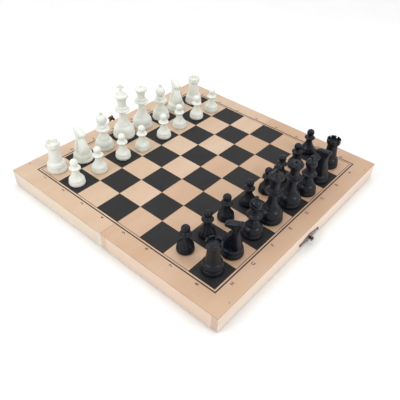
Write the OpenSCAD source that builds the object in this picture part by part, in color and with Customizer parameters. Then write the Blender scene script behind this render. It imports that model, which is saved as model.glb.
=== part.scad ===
// A folding chess case, opened flat as a board, with its 32 pieces set up on it.
// +Z is up, +X points to the h-file side and +Y to the black end. The fold runs along X through
// the origin, and z = 0 is the plane that the lowest point of the open board touches.

/* [Board] */
// Side of one square
square = 31; // [28:0.5:38]
// Border between the squares and the edge of the board
margin = 21; // [17:0.5:26]
// Height of each half of the case, from its rim to the playing surface
case_h = 19.2; // [16:0.1:26]
// Thickness of the plywood playing panels
panel_t = 1.5; // [1.2:0.1:3]
// Thickness of the rails
rail_t = 7; // [6:0.1:10]
// Gap between the two halves along the fold when the board is flat
fold_gap = 0.3; // [0.2:0.05:0.6]
// Gap left between the two rims when the case is shut
closing_gap = 0.2; // [0.1:0.05:0.5]

/* [Hinges] */
// Length of each hinge along the fold
hinge_len = 24; // [18:1:36]
// Distance from the side of the board to the middle of each hinge
hinge_inset = 45; // [30:1:70]
// Radius of the hinge barrel
barrel_r = 1.2; // [1:0.05:1.5]
// Radius of the hinge pin
pin_r = 0.6; // [0.4:0.05:0.7]
// Thickness of the hinge leaves
leaf_t = 0.8; // [0.6:0.05:1]
// Reach of each leaf from the fold
leaf_w = 6.2; // [5:0.1:6.5]
// Gap between neighbouring knuckles
knuckle_gap = 0.3; // [0.2:0.05:0.5]
// Radius of a hinge screw's shank
screw_r = 0.7; // [0.5:0.05:0.8]
// Radius of a hinge screw's head
screw_head_r = 1.4; // [1.2:0.05:1.6]
// Depth that a hinge screw reaches into the rail
screw_len = 8; // [5:0.5:10]

/* [Catch] */
// Height of the hook's pivot and of the peg above the rim
catch_h = 5.8; // [5.2:0.1:7]
// How far the catch stands out of each end of the case
catch_out = 5.5; // [5:0.1:8]
// Half length of the lozenge plates
plate_half_l = 18.9; // [16:0.1:24]
// Half height of the lozenge plates
plate_half_h = 4.8; // [4:0.1:5.2]
// Thickness of the lozenge plates
plate_t = 1; // [0.8:0.05:1.4]
// Radius of the peg's neck, which the hook closes round
peg_r = 1.5; // [1.2:0.05:1.8]
// Radius of the peg's head
peg_head_r = 2.6; // [2.3:0.05:3]
// Thickness of the hook
hook_t = 1.2; // [1:0.05:1.5]
// Reach of the hook from its pivot to its tip
hook_reach = 18.5; // [17:0.1:22]
// Angle that the open hook leans from upright
hook_lean = 12; // [0:1:30]
// Radius of the rivet that the hook turns on
rivet_r = 1.5; // [1.2:0.05:1.8]

/* [Nails] */
// Radius of a nail's shank
nail_r = 0.5; // [0.35:0.05:0.6]
// Radius of a plate nail's head
nail_head_r = 1.1; // [0.9:0.05:1.3]
// Length of the nails and of the tails of the peg and rivet inside the rail
nail_len = 5; // [4:0.1:5.5]
// Radius of a panel brad's head
brad_head_r = 0.8; // [0.7:0.05:1]
// Length of a panel brad
brad_len = 10; // [8:0.5:12]
// Distance from the side of the board to each panel brad
brad_inset = 19; // [12:1:30]

/* [Pieces] */
// Base diameter of a pawn
pawn_d = 17.6; // [16:0.1:22]
// Height of a pawn
pawn_h = 31; // [26:0.5:38]
// Base diameter of a rook
rook_d = 21.6; // [18:0.1:26]
// Height of a rook
rook_h = 35.5; // [30:0.5:43]
// Base diameter of a knight
knight_d = 22.6; // [18:0.1:27]
// Height of a knight
knight_h = 40; // [34:0.5:49]
// Base diameter of a bishop
bishop_d = 22; // [18:0.1:27]
// Height of a bishop
bishop_h = 47; // [39:0.5:57]
// Base diameter of a queen
queen_d = 25; // [20:0.1:27.5]
// Height of a queen
queen_h = 54.4; // [45:0.2:66]
// Base diameter of a king
king_d = 26.4; // [21:0.1:27.8]
// Height of a king
king_h = 66.5; // [55:0.5:80]
// Width of the king's cross
cross_w = 7.4; // [5:0.1:9]
// Thickness of the king's cross
cross_t = 2; // [1.4:0.1:2.6]
// Width of the bishop's slot
slot_w = 1.2; // [0.8:0.1:1.6]
// Width of the notches in the rook's battlement
notch_w = 1.9; // [1.2:0.1:2.6]

/* [Hidden] */
$fn = 64;
eps = 0.01;
// clearance of the shafts that turn, and of the nails and screws in their holes
run_fit = 0.05;
hole_fit = 0.03;
// room round the hinge barrel and round parts that swing past each other
swing_gap = 0.3;

board_w = 8 * square + 2 * margin;
half_l = board_w / 2;
axis_z = barrel_r;
rim_z = axis_z + closing_gap / 2;
rail_h = case_h - panel_t;
panel_z = rim_z + rail_h;
top_z = rim_z + case_h;
knuckle_l = (hinge_len - 2 * knuckle_gap) / 3;
pin_head_t = 0.4;
notch_y = barrel_r + swing_gap;
notch_l = hinge_len + 2 * (run_fit + pin_head_t + swing_gap);
hinge_x = board_w / 2 - hinge_inset;
// metal left between a screw's head and the end of the leaf
leaf_end = 2;
screw_x = hinge_len / 2 - screw_head_r - leaf_end;
screw_y = (notch_y + leaf_w) / 2;
brad_x = board_w / 2 - brad_inset;
brad_y = half_l - rail_t / 2;
brad_head_t = 0.4;
// from a plate's tip to its nail, the metal round the nail's head, and how the head tapers
nail_inset = 2.4;
nail_land = 0.7;
nail_taper = 0.3;
plate_nail_x = plate_half_l - nail_inset;
nail_head_t = 0.5;
// the hook lies just above the nail heads, and the peg's head just above the hook
nail_clear = 0.2;
hook_y = plate_t + nail_head_t + nail_clear;
hook_gap = 0.1;
peg_head_y = hook_y + hook_t + swing_gap;
// pivot to peg when the case is shut
peg_reach = 2 * catch_h + closing_gap;
// room round the peg's neck, and the metal round the slot and round the rivet
slot_fit = 0.35;
slot_rim = 2.6;
eye_rim = 2;
slot_r = peg_r + slot_fit;
hook_head_r = slot_r + slot_rim;
hook_arm_w = 4.6;
hook_eye_r = rivet_r + eye_rim;
hook_tab_w = 6.4;
curl_r = (catch_out - hook_y) / 2;
// how far the rivet's head laps over the hook
rivet_lap = 1.3;
rivet_head_r = rivet_r + rivet_lap;
rivet_head_t = 1.4;
tail_r = 1;
// flat edge under the peg's domed head
peg_rim = 0.5;
// slot in a screw's head
drive_w = 0.4;
drive_t = 0.3;
// shape of the cross: height of its arms, and the widths of its root and of its arms' ends
cross_mid = 0.6;
cross_root = 0.4;
cross_flare = 0.42;

cream = [0.93, 0.85, 0.75];
tan = [0.84, 0.70, 0.57];
ivory = [0.88, 0.89, 0.84];
jet = [0.11, 0.12, 0.14];
brass = [0.71, 0.56, 0.30];
old_steel = [0.42, 0.38, 0.36];

// Where each piece stands off the middle of its square, as shares of the room it has there, with
// the angle that it is turned: files a to h of the back rank, then of the pawns.
white_back = [
    [0.7, 0.8, 10], [0.5, -0.1, -16], [0.3, 0.3, 20], [-0.1, -0.7, 0],
    [-0.4, -0.8, 130], [0.3, 0.2, 60], [0.5, 0.5, -8], [0.6, -0.6, 0]
];
white_front = [
    [0.5, 0.7, 0], [0, 0.4, 0], [0.1, 0.3, 0], [-0.1, 0.6, 0],
    [0.6, 0.6, 0], [0, 0.1, 0], [0.5, 0.1, 0], [0.5, 0.2, 0]
];
black_back = [
    [0.8, -0.8, 0], [1, 0.25, 172], [0.5, 0.6, 150], [-0.2, -0.1, 0],
    [0.7, -0.8, 120], [0.1, -0.4, 205], [0.5, -0.2, 198], [-0.2, -0.2, 25]
];
black_front = [
    [-0.3, -0.7, 0], [0.3, 0, 0], [0.4, 0, 0], [0, 0.3, 0],
    [-0.2, -0.1, 0], [0.1, -0.5, 0], [0, -0.3, 0], [-0.4, -0.6, 0]
];

// ---- outlines of turned pieces, as [radius, height] ----

function arc(r, z, rad, from, to, n = 8) =
    [for (i = [0:n]) let (a = from + (to - from) * i / n) [r + rad * cos(a), z + rad * sin(a)]];

function oval(rx, rz, z, from, to, n = 14) =
    [for (i = [0:n]) let (a = from + (to - from) * i / n) [rx * cos(a), z + rz * sin(a)]];

function bend(a, b, c, d, n = 8) =
    [for (i = [0:n]) let (t = i / n, s = 1 - t)
        s * s * s * a + 3 * s * s * t * b + 3 * s * t * t * c + t * t * t * d];

// bulging foot, r wide and h high, with the step above it that all the pieces have
function foot(r, h) =
    concat([[0, 0], [r - 1, 0]],
        bend([r - 0.7, 0.1], [r + 0.2, 0.9], [r + 0.2, h - 1.4], [r - 0.45, h - 0.2]),
        [[r - 0.75, h], [r - 0.7, h + 0.35], [r - 0.5, h + 0.7]]);

function collar(neck_r, r, z) =
    concat([[neck_r + 0.4, z], [r - 1.4, z + 0.9]], arc(r - 1, z + 1.9, 1, -60, 60),
        [[r - 2.2, z + 3.1], [r - 2.8, z + 3.5]]);

// stretches an outline drawn for one base radius and height to another
function fitted(points, r, h, r_drawn, h_drawn) =
    [for (p = points) [p[0] * r / r_drawn, p[1] * h / h_drawn]];

module turned(points, cavity) {
    difference() {
        rotate_extrude() polygon(points);
        translate([0, 0, -eps])
            cylinder(h = cavity[2], r1 = cavity[0], r2 = cavity[1]);
    }
}

// ---- chess pieces, standing at the origin and facing +Y ----

module pawn() {
    outline = concat(foot(8.8, 5.3), bend([8.25, 6.1], [8, 8.5], [4.4, 9.5], [3.2, 17.6]),
        [[3.4, 18.4], [5.3, 19.1]], arc(5.1, 20.3, 1, -60, 60), [[4.1, 21.9], [3, 22.5]],
        arc(0, 26.7, 4.3, -56, 90));
    kr = pawn_d / 2 / 8.8;
    kh = pawn_h / 31;
    turned(fitted(outline, pawn_d / 2, pawn_h, 8.8, 31), [6.2 * kr, 1.2 * kr, 13 * kh]);
}

module rook() {
    outline = concat(foot(10.8, 5.4), bend([10.25, 6.1], [10.1, 8.3], [9.6, 10.6], [7.9, 11.9]),
        [[7.4, 12.1], [7.3, 12.7]], bend([7.2, 13.2], [6.5, 17], [6, 22], [5.7, 28]),
        bend([5.8, 28.5], [6.2, 29.4], [7.6, 29.4], [7.75, 30.9]),
        [[7.75, 35.5], [5.9, 35.5], [5.9, 31.5], [0, 31.5]]);
    kr = rook_d / 2 / 10.8;
    kh = rook_h / 35.5;
    difference() {
        turned(fitted(outline, rook_d / 2, rook_h, 10.8, 35.5), [7.8 * kr, 2.4 * kr, 27 * kh]);
        for (a = [0:60:300])
            rotate([0, 0, a])
                translate([0, -notch_w / 2, 32.6 * kh])
                    cube([rook_d, notch_w, rook_h]);
    }
}

// seen from the side with the muzzle at +Y, as [y, z]
horse_side = [
    [-7.6, 10], [-8.4, 13], [-8, 17], [-6.8, 22], [-6, 27], [-6.4, 31], [-7.9, 35],
    [-8.8, 37.8], [-7.8, 39.4], [-5.8, 40], [-4, 39.2], [0, 38.6], [4, 37.8], [7.2, 36.6],
    [8.8, 34.8], [8.7, 33], [7.2, 31.8], [4.6, 31.6], [2.4, 30.8], [1.4, 29], [2.6, 26.6],
    [5.6, 23], [8, 19], [8.8, 15.5], [8.6, 13], [8, 10]
];
// seen from the front, right half only, as [x, z]
horse_front = [[6, 10], [5.8, 14], [5, 19], [4.3, 25], [3.6, 31], [3.4, 36], [3.2, 40]];

module knight() {
    outline = concat(foot(11.3, 4.9), bend([10.6, 5.7], [10.4, 8.4], [9.9, 10], [9.3, 10.9]),
        [[0, 11]]);
    kr = knight_d / 2 / 11.3;
    kh = knight_h / 40;
    side = fitted(horse_side, knight_d / 2, knight_h, 11.3, 40);
    right = fitted(horse_front, knight_d / 2, knight_h, 11.3, 40);
    left = [for (i = [len(right) - 1:-1:0]) [-right[i][0], right[i][1]]];
    union() {
        turned(fitted(outline, knight_d / 2, knight_h, 11.3, 40), [8.2 * kr, 5 * kr, 8 * kh]);
        intersection() {
            rotate([90, 0, 90])
                linear_extrude(height = knight_d, center = true)
                    polygon(side);
            rotate([90, 0, 0])
                linear_extrude(height = knight_d, center = true)
                    polygon(concat(right, left));
        }
    }
}

module bishop() {
    outline = concat(foot(11, 4.9), bend([10.4, 5.7], [10.2, 8.4], [9.2, 10.4], [7.3, 11.9]),
        [[6.9, 12.2], [6.9, 12.9]], bend([6.9, 13.4], [6.1, 15.4], [3.9, 17], [3.6, 22.8]),
        [[4.2, 23], [6.9, 23.6]], arc(7.1, 24.7, 1, -60, 60), [[6.3, 26.2], [5.2, 27.4]],
        arc(4.7, 28.5, 0.95, -60, 70), [[3.6, 29.9], [2.9, 30.5]],
        oval(6.1, 6.4, 36.6, -62, 74), [[1.3, 43.3]], oval(2.1, 1.8, 45.2, -50, 90));
    kr = bishop_d / 2 / 11;
    kh = bishop_h / 47;
    difference() {
        turned(fitted(outline, bishop_d / 2, bishop_h, 11, 47), [7.8 * kr, 1.4 * kr, 19 * kh]);
        translate([0, 1 * kr, 37.4 * kh])
            rotate([32, 0, 0])
                translate([-bishop_d / 2, 0, -slot_w / 2])
                    cube([bishop_d, bishop_d, slot_w]);
    }
}

module queen() {
    outline = concat(foot(12.5, 5.3), bend([11.9, 6.1], [11.8, 9.4], [10.4, 12.2], [8.2, 13.8]),
        [[7.6, 14.1], [7.5, 14.9]], bend([7.5, 15.4], [6.8, 17.8], [4.4, 19.8], [4.1, 31.2]),
        collar(4.4, 8.8, 32.1), [[5.8, 35.8]], arc(5.5, 36.8, 0.9, -60, 60), [[4.7, 38.2]],
        bend([4.6, 38.8], [4.7, 43], [5.2, 46], [6.2, 47.4]),
        bend([6.8, 47.6], [7.8, 48.4], [7.9, 49.4], [7.6, 50.8]), [[7, 51], [6.2, 50.2]],
        bend([5.6, 50], [4.6, 51.6], [2.6, 52.2], [1.2, 52.2]), arc(0, 53, 1.4, -35, 90));
    kr = queen_d / 2 / 12.5;
    kh = queen_h / 54.4;
    difference() {
        turned(fitted(outline, queen_d / 2, queen_h, 12.5, 54.4), [8.8 * kr, 1.8 * kr, 23 * kh]);
        for (a = [0:36:324])
            rotate([0, 0, a])
                translate([5 * kr, 0, 51.5 * kh])
                    rotate([0, 90, 0])
                        cylinder(h = queen_d, r = 1.1 * kr, $fn = 24);
    }
}

module cross(h) {
    root_w = cross_w * cross_root;
    arm_w = cross_w * cross_flare;
    mid = h * cross_mid;
    rotate([90, 0, 0])
        linear_extrude(height = cross_t, center = true)
            union() {
                polygon([
                    [-root_w / 2, -1], [root_w / 2, -1], [root_w / 3, mid],
                    [arm_w / 2, h], [-arm_w / 2, h], [-root_w / 3, mid]
                ]);
                for (s = [-1, 1])
                    polygon([
                        [0, mid - root_w / 3], [s * cross_w / 2, mid - arm_w / 2],
                        [s * cross_w / 2, mid + arm_w / 2], [0, mid + root_w / 3]
                    ]);
            }
}

module king() {
    outline = concat(foot(13.2, 5.6), bend([12.6, 6.4], [12.5, 9.8], [11.2, 12.9], [8.6, 14.7]),
        [[8, 15], [7.9, 15.9]], bend([7.9, 16.4], [7, 19], [4.6, 21.4], [4.3, 32.6]),
        collar(4.5, 9, 33.2), [[6.1, 37]], arc(5.8, 38, 0.9, -60, 60), [[5, 39.3]],
        bend([4.95, 39.8], [5.1, 44.5], [5.8, 47.8], [6.9, 50.6]),
        bend([7.5, 50.8], [8.2, 51.6], [8.2, 52.8], [7.6, 53.8]),
        [[6.9, 54.2], [5.9, 54.3], [5.7, 54.9], [4.4, 55.6], [3.9, 56.5]],
        bend([3.6, 57], [2.8, 57.8], [2.2, 58.2], [1.7, 58.8]), [[0, 58.8]]);
    kr = king_d / 2 / 13.2;
    kh = king_h / 66.5;
    union() {
        turned(fitted(outline, king_d / 2, king_h, 13.2, 66.5), [9.4 * kr, 1.8 * kr, 24 * kh]);
        translate([0, 0, 58.8 * kh])
            cross(king_h - 58.8 * kh);
    }
}

// ---- case ----

// the lozenge outline of the two catch plates, lying in X and Z
module lozenge(hole_r) {
    rotate([90, 0, 0])
        linear_extrude(height = plate_t)
            difference() {
                union() {
                    polygon([
                        [-plate_half_l, 0], [0, -plate_half_h], [plate_half_l, 0], [0, plate_half_h]
                    ]);
                    for (s = [-1, 1])
                        translate([s * plate_nail_x, 0])
                            circle(r = nail_head_r + nail_land);
                }
                circle(r = hole_r);
                for (s = [-1, 1])
                    translate([s * plate_nail_x, 0])
                        circle(r = nail_r + hole_fit);
            }
}

// holes in an end rail for the catch's tail and the two plate nails, around the pivot height
module end_holes() {
    translate([0, -half_l - eps, rim_z + catch_h])
        rotate([-90, 0, 0]) {
            cylinder(h = nail_len + 2 * eps, r = tail_r + hole_fit);
            for (s = [-1, 1])
                translate([s * plate_nail_x, 0, 0])
                    cylinder(h = nail_len + 2 * eps, r = nail_r + hole_fit);
        }
}

module brad_holes(r, depth) {
    for (s = [-1, 1])
        translate([s * brad_x, -brad_y, top_z - depth])
            cylinder(h = depth + eps, r = r);
}

module at_screws() {
    for (hx = [-hinge_x, hinge_x], s = [-1, 1])
        translate([hx + s * screw_x, -screw_y, rim_z])
            children();
}

// every rail and panel below is drawn for the white half, at -Y
module end_rail() {
    difference() {
        translate([-board_w / 2, -half_l, rim_z])
            cube([board_w, rail_t, rail_h]);
        end_holes();
        brad_holes(nail_r + hole_fit, brad_len);
    }
}

module fold_rail() {
    difference() {
        translate([-board_w / 2, -fold_gap / 2 - rail_t, rim_z])
            cube([board_w, rail_t, rail_h]);
        for (hx = [-hinge_x, hinge_x]) {
            translate([hx - hinge_len / 2 - hole_fit, -leaf_w - hole_fit, rim_z - eps])
                cube([hinge_len + 2 * hole_fit, leaf_w + hole_fit, leaf_t + eps]);
            translate([hx - notch_l / 2, -notch_y, rim_z - eps])
                cube([notch_l, notch_y, notch_y + eps]);
        }
        at_screws() cylinder(h = screw_len + 2 * hole_fit, r = screw_r + hole_fit);
    }
}

module side_rail(side) {
    inner_l = half_l - fold_gap / 2 - 2 * rail_t;
    translate([side * (board_w - rail_t) / 2, -half_l + rail_t + inner_l / 2, rim_z + rail_h / 2])
        cube([rail_t, inner_l, rail_h], center = true);
}

module panel() {
    difference() {
        translate([-board_w / 2, -half_l, panel_z])
            cube([board_w, half_l - fold_gap / 2, panel_t]);
        brad_holes(nail_r + hole_fit, panel_t + eps);
        brad_holes(brad_head_r + hole_fit, brad_head_t);
    }
}

module panel_brads() {
    for (s = [-1, 1])
        translate([s * brad_x, -brad_y, top_z]) {
            translate([0, 0, -brad_head_t])
                cylinder(h = brad_head_t, r = brad_head_r);
            translate([0, 0, -brad_len])
                cylinder(h = brad_len - eps, r = nail_r);
        }
}

// knuckles is a list of the places, 0 to 2, of this leaf's knuckles along the barrel
module hinge_leaf(knuckles) {
    difference() {
        union() {
            translate([-hinge_len / 2, -leaf_w, rim_z])
                cube([hinge_len, leaf_w - notch_y, leaf_t]);
            for (k = knuckles)
                translate([-hinge_len / 2 + k * (knuckle_l + knuckle_gap), 0, 0]) {
                    translate([0, -notch_y - eps, rim_z])
                        cube([knuckle_l, notch_y + eps, leaf_t]);
                    translate([0, 0, axis_z])
                        rotate([0, 90, 0])
                            cylinder(h = knuckle_l, r = barrel_r);
                }
        }
        translate([-hinge_len, 0, axis_z])
            rotate([0, 90, 0])
                cylinder(h = 2 * hinge_len, r = pin_r + run_fit);
        for (s = [-1, 1])
            translate([s * screw_x, -screw_y, rim_z - eps])
                cylinder(h = leaf_t + 2 * eps, r1 = screw_head_r + hole_fit, r2 = screw_r + hole_fit);
    }
}

module hinge_leaves(knuckles) {
    for (hx = [-hinge_x, hinge_x])
        translate([hx, 0, 0])
            hinge_leaf(knuckles);
}

// pins with a peened head at each end, which keeps them in the barrel
module pins() {
    for (hx = [-hinge_x, hinge_x])
        translate([hx - hinge_len / 2, 0, axis_z])
            rotate([0, 90, 0]) {
                translate([0, 0, -run_fit])
                    cylinder(h = hinge_len + 2 * run_fit, r = pin_r);
                for (z = [-run_fit - pin_head_t, hinge_len + run_fit])
                    translate([0, 0, z])
                        cylinder(h = pin_head_t, r = (pin_r + barrel_r) / 2);
            }
}

module hinge_screws() {
    at_screws()
        difference() {
            union() {
                cylinder(h = leaf_t, r1 = screw_head_r, r2 = screw_r);
                cylinder(h = screw_len, r = screw_r);
            }
            translate([-screw_head_r * 2, -drive_w / 2, -eps])
                cube([screw_head_r * 4, drive_w, drive_t]);
        }
}

// everything on the catch is drawn with the case's end face at y = 0, and stands out to -Y
module at_catch() {
    translate([0, -half_l, rim_z + catch_h])
        children();
}

module nails() {
    for (s = [-1, 1])
        translate([s * plate_nail_x, 0, 0])
            rotate([90, 0, 0]) {
                translate([0, 0, -nail_len])
                    cylinder(h = nail_len + plate_t + eps, r = nail_r);
                translate([0, 0, plate_t])
                    cylinder(h = nail_head_t, r1 = nail_head_r, r2 = nail_head_r - nail_taper);
            }
}

module peg() {
    rotate([90, 0, 0]) {
        translate([0, 0, -nail_len])
            cylinder(h = nail_len + plate_t + eps, r = tail_r);
        rotate_extrude()
            polygon(concat([[0, plate_t], [peg_r, plate_t], [peg_r, peg_head_y]],
                oval(peg_head_r, catch_out - peg_head_y - peg_rim, peg_head_y + peg_rim, 0, 90)));
    }
}

module rivet() {
    rivet_head_y = hook_y + hook_t + hook_gap;
    rotate([90, 0, 0]) {
        translate([0, 0, -nail_len])
            cylinder(h = nail_len + plate_t + eps, r = tail_r);
        translate([0, 0, plate_t])
            cylinder(h = hook_y - hook_gap - plate_t, r = rivet_head_r);
        translate([0, 0, plate_t])
            cylinder(h = rivet_head_y + eps - plate_t, r = rivet_r);
        rotate_extrude()
            polygon(concat([[0, rivet_head_y]], oval(rivet_head_r, rivet_head_t, rivet_head_y, 0, 90)));
    }
}

// half of a ring between two radii, on the side of +X
module half_ring(r_in, r_out) {
    difference() {
        circle(r = r_out);
        circle(r = r_in);
        translate([-2 * r_out, -r_out - 1])
            square([2 * r_out, 2 * r_out + 2]);
    }
}

// upright, with the pivot at the origin; the mouth of the slot opens to +X
module hook() {
    curl_z = hook_reach - curl_r;
    difference() {
        translate([0, -hook_y, 0])
            rotate([90, 0, 0])
                linear_extrude(height = hook_t)
                    difference() {
                        union() {
                            circle(r = hook_eye_r);
                            translate([-hook_arm_w / 2, 0])
                                square([hook_arm_w, peg_reach]);
                            translate([0, peg_reach])
                                circle(r = hook_head_r);
                            translate([-hook_tab_w / 2, peg_reach])
                                square([hook_tab_w, curl_z - peg_reach + eps]);
                        }
                        translate([0, peg_reach])
                            circle(r = slot_r);
                        // the slot follows the peg's path round the pivot
                        difference() {
                            half_ring(peg_reach - slot_r, peg_reach + slot_r);
                            translate([0, -4 * peg_reach])
                                square([4 * peg_reach, 4 * peg_reach]);
                        }
                    }
        rotate([90, 0, 0])
            cylinder(h = catch_out, r = rivet_r + run_fit);
    }
    // the tip curls outwards over a bend that runs across the hook
    translate([-hook_tab_w / 2, -hook_y - curl_r, curl_z])
        rotate([90, 0, 90])
            linear_extrude(height = hook_tab_w)
                difference() {
                    circle(r = curl_r);
                    circle(r = curl_r - hook_t);
                    translate([-2 * curl_r, -2 * curl_r])
                        square([4 * curl_r, 2 * curl_r]);
                }
}

// ---- placing ----

module mirrored_half() {
    mirror([0, 1, 0])
        children();
}

// file and rank count from 0 at a1, and d is the piece's base diameter
module on_square(file, rank, nudge, d) {
    room = (square - d) / 2;
    translate([
        (file - 3.5) * square + nudge[0] * room, (rank - 3.5) * square + nudge[1] * room, top_z
    ])
        rotate([0, 0, nudge[2]])
            children();
}

module white_back_piece(file, d) {
    color(ivory) on_square(file, 0, white_back[file], d) children();
}

module black_back_piece(file, d) {
    color(jet) on_square(file, 7, black_back[file], d) children();
}

module white_pawn(file) {
    color(ivory) on_square(file, 1, white_front[file], pawn_d) pawn();
}

module black_pawn(file) {
    color(jet) on_square(file, 6, black_front[file], pawn_d) pawn();
}

// ---- one module per node ----

module white_panel() color(tan) panel();
module white_end_rail() color(cream) end_rail();
module white_fold_rail() color(cream) fold_rail();
module white_side_rail_a() color(cream) side_rail(-1);
module white_side_rail_h() color(cream) side_rail(1);
module black_panel() color(tan) mirrored_half() panel();
module black_end_rail() color(cream) mirrored_half() end_rail();
module black_fold_rail() color(cream) mirrored_half() fold_rail();
module black_side_rail_a() color(cream) mirrored_half() side_rail(-1);
module black_side_rail_h() color(cream) mirrored_half() side_rail(1);
module white_hinge_leaves() color(brass) hinge_leaves([0, 2]);
module black_hinge_leaves() color(brass) mirrored_half() hinge_leaves([1]);
module hinge_pins() color(brass) pins();
module white_hinge_screws() color(brass) hinge_screws();
module black_hinge_screws() color(brass) mirrored_half() hinge_screws();
module white_panel_brads() color(old_steel) panel_brads();
module black_panel_brads() color(old_steel) mirrored_half() panel_brads();
module hook_plate() color(old_steel) at_catch() lozenge(tail_r + hole_fit);
module hook_plate_nails() color(brass) at_catch() nails();
module catch_hook() color(brass) at_catch() rotate([0, hook_lean, 0]) hook();
module hook_rivet() color(brass) at_catch() rivet();
module peg_plate() color(old_steel) mirrored_half() at_catch() lozenge(tail_r + hole_fit);
module peg_plate_nails() color(brass) mirrored_half() at_catch() nails();
module catch_peg() color(brass) mirrored_half() at_catch() peg();
module white_rook_a() white_back_piece(0, rook_d) rook();
module white_knight_b() white_back_piece(1, knight_d) knight();
module white_bishop_c() white_back_piece(2, bishop_d) bishop();
module white_queen_d() white_back_piece(3, queen_d) queen();
module white_king_e() white_back_piece(4, king_d) king();
module white_bishop_f() white_back_piece(5, bishop_d) bishop();
module white_knight_g() white_back_piece(6, knight_d) knight();
module white_rook_h() white_back_piece(7, rook_d) rook();
module white_pawn_a() white_pawn(0);
module white_pawn_b() white_pawn(1);
module white_pawn_c() white_pawn(2);
module white_pawn_d() white_pawn(3);
module white_pawn_e() white_pawn(4);
module white_pawn_f() white_pawn(5);
module white_pawn_g() white_pawn(6);
module white_pawn_h() white_pawn(7);
module black_rook_a() black_back_piece(0, rook_d) rook();
module black_knight_b() black_back_piece(1, knight_d) knight();
module black_bishop_c() black_back_piece(2, bishop_d) bishop();
module black_queen_d() black_back_piece(3, queen_d) queen();
module black_king_e() black_back_piece(4, king_d) king();
module black_bishop_f() black_back_piece(5, bishop_d) bishop();
module black_knight_g() black_back_piece(6, knight_d) knight();
module black_rook_h() black_back_piece(7, rook_d) rook();
module black_pawn_a() black_pawn(0);
module black_pawn_b() black_pawn(1);
module black_pawn_c() black_pawn(2);
module black_pawn_d() black_pawn(3);
module black_pawn_e() black_pawn(4);
module black_pawn_f() black_pawn(5);
module black_pawn_g() black_pawn(6);
module black_pawn_h() black_pawn(7);

white_panel();
white_end_rail();
white_fold_rail();
white_side_rail_a();
white_side_rail_h();
black_panel();
black_end_rail();
black_fold_rail();
black_side_rail_a();
black_side_rail_h();
white_hinge_leaves();
black_hinge_leaves();
hinge_pins();
white_hinge_screws();
black_hinge_screws();
white_panel_brads();
black_panel_brads();
hook_plate();
hook_plate_nails();
catch_hook();
hook_rivet();
peg_plate();
peg_plate_nails();
catch_peg();
white_rook_a();
white_knight_b();
white_bishop_c();
white_queen_d();
white_king_e();
white_bishop_f();
white_knight_g();
white_rook_h();
white_pawn_a();
white_pawn_b();
white_pawn_c();
white_pawn_d();
white_pawn_e();
white_pawn_f();
white_pawn_g();
white_pawn_h();
black_rook_a();
black_knight_b();
black_bishop_c();
black_queen_d();
black_king_e();
black_bishop_f();
black_knight_g();
black_rook_h();
black_pawn_a();
black_pawn_b();
black_pawn_c();
black_pawn_d();
black_pawn_e();
black_pawn_f();
black_pawn_g();
black_pawn_h();
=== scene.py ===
"""Looks of a folding chess case, opened flat as a board, with its 32 pieces set up on it.

The case lies in X and Y with its fold along X. +X is the h-file side and +Y the black end.
Lengths below are millimetres unless a comment says otherwise, and become metres when a mesh is made.
"""
import math

import bmesh
import bpy
import numpy as np
from mathutils import Matrix, Vector, geometry


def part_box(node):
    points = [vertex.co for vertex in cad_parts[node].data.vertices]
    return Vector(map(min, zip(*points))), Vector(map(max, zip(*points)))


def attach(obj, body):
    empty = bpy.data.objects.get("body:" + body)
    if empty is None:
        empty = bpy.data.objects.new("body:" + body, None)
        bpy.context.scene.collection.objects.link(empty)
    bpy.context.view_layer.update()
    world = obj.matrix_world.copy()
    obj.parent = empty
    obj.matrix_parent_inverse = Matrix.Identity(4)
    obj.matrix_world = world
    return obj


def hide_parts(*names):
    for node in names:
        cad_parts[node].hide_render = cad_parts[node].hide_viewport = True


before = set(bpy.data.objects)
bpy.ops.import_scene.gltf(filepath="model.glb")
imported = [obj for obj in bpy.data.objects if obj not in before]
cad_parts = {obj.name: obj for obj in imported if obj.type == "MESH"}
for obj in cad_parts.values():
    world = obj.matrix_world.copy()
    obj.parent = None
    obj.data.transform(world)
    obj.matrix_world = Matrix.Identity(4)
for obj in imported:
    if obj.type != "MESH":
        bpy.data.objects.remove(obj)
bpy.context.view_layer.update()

MM = 0.001
# lengths in mm and angles in radians below this count as nothing
TINY = 1e-6

# ---- sizes that follow the frame ----

HALVES = {"white": -1, "black": 1}
panel_low, panel_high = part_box("black_panel")
BOARD_HALF = panel_high.x / MM
TOP_Z = panel_high.z / MM
FOLD_HALF_GAP = panel_low.y / MM
# border between the squares and the edge of the board
MARGIN = 21
FIELD_HALF = BOARD_HALF - MARGIN
SQUARE = FIELD_HALF / 4
FILES = "ABCDEFGH"
AXIS_Z = (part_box("hinge_pins")[0].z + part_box("hinge_pins")[1].z) / 2 / MM
# distance from the side of the board to the middle of each hinge
HINGE_INSET = 45
HINGE_X = BOARD_HALF - HINGE_INSET

# ---- camera ----

# the lens as a share of the sensor's width; the place in mm; the turn as a rotation vector
SENSOR_WIDTH = 36
FOCAL_SHARE = 1.1698
CAMERA_PLACE = Vector((327.2, 273.2, 317.5 + TOP_Z))
CAMERA_TURN = (1.059, 2.3283, -1.0199)
CAMERA_SHIFT = (-0.0327, 0.0152)
# nearest and farthest that it sees, in metres
CAMERA_CLIP = (0.01, 20)


def rotation_vector(v):
    v = Vector(v)
    return Matrix.Rotation(v.length, 3, v.normalized())


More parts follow.
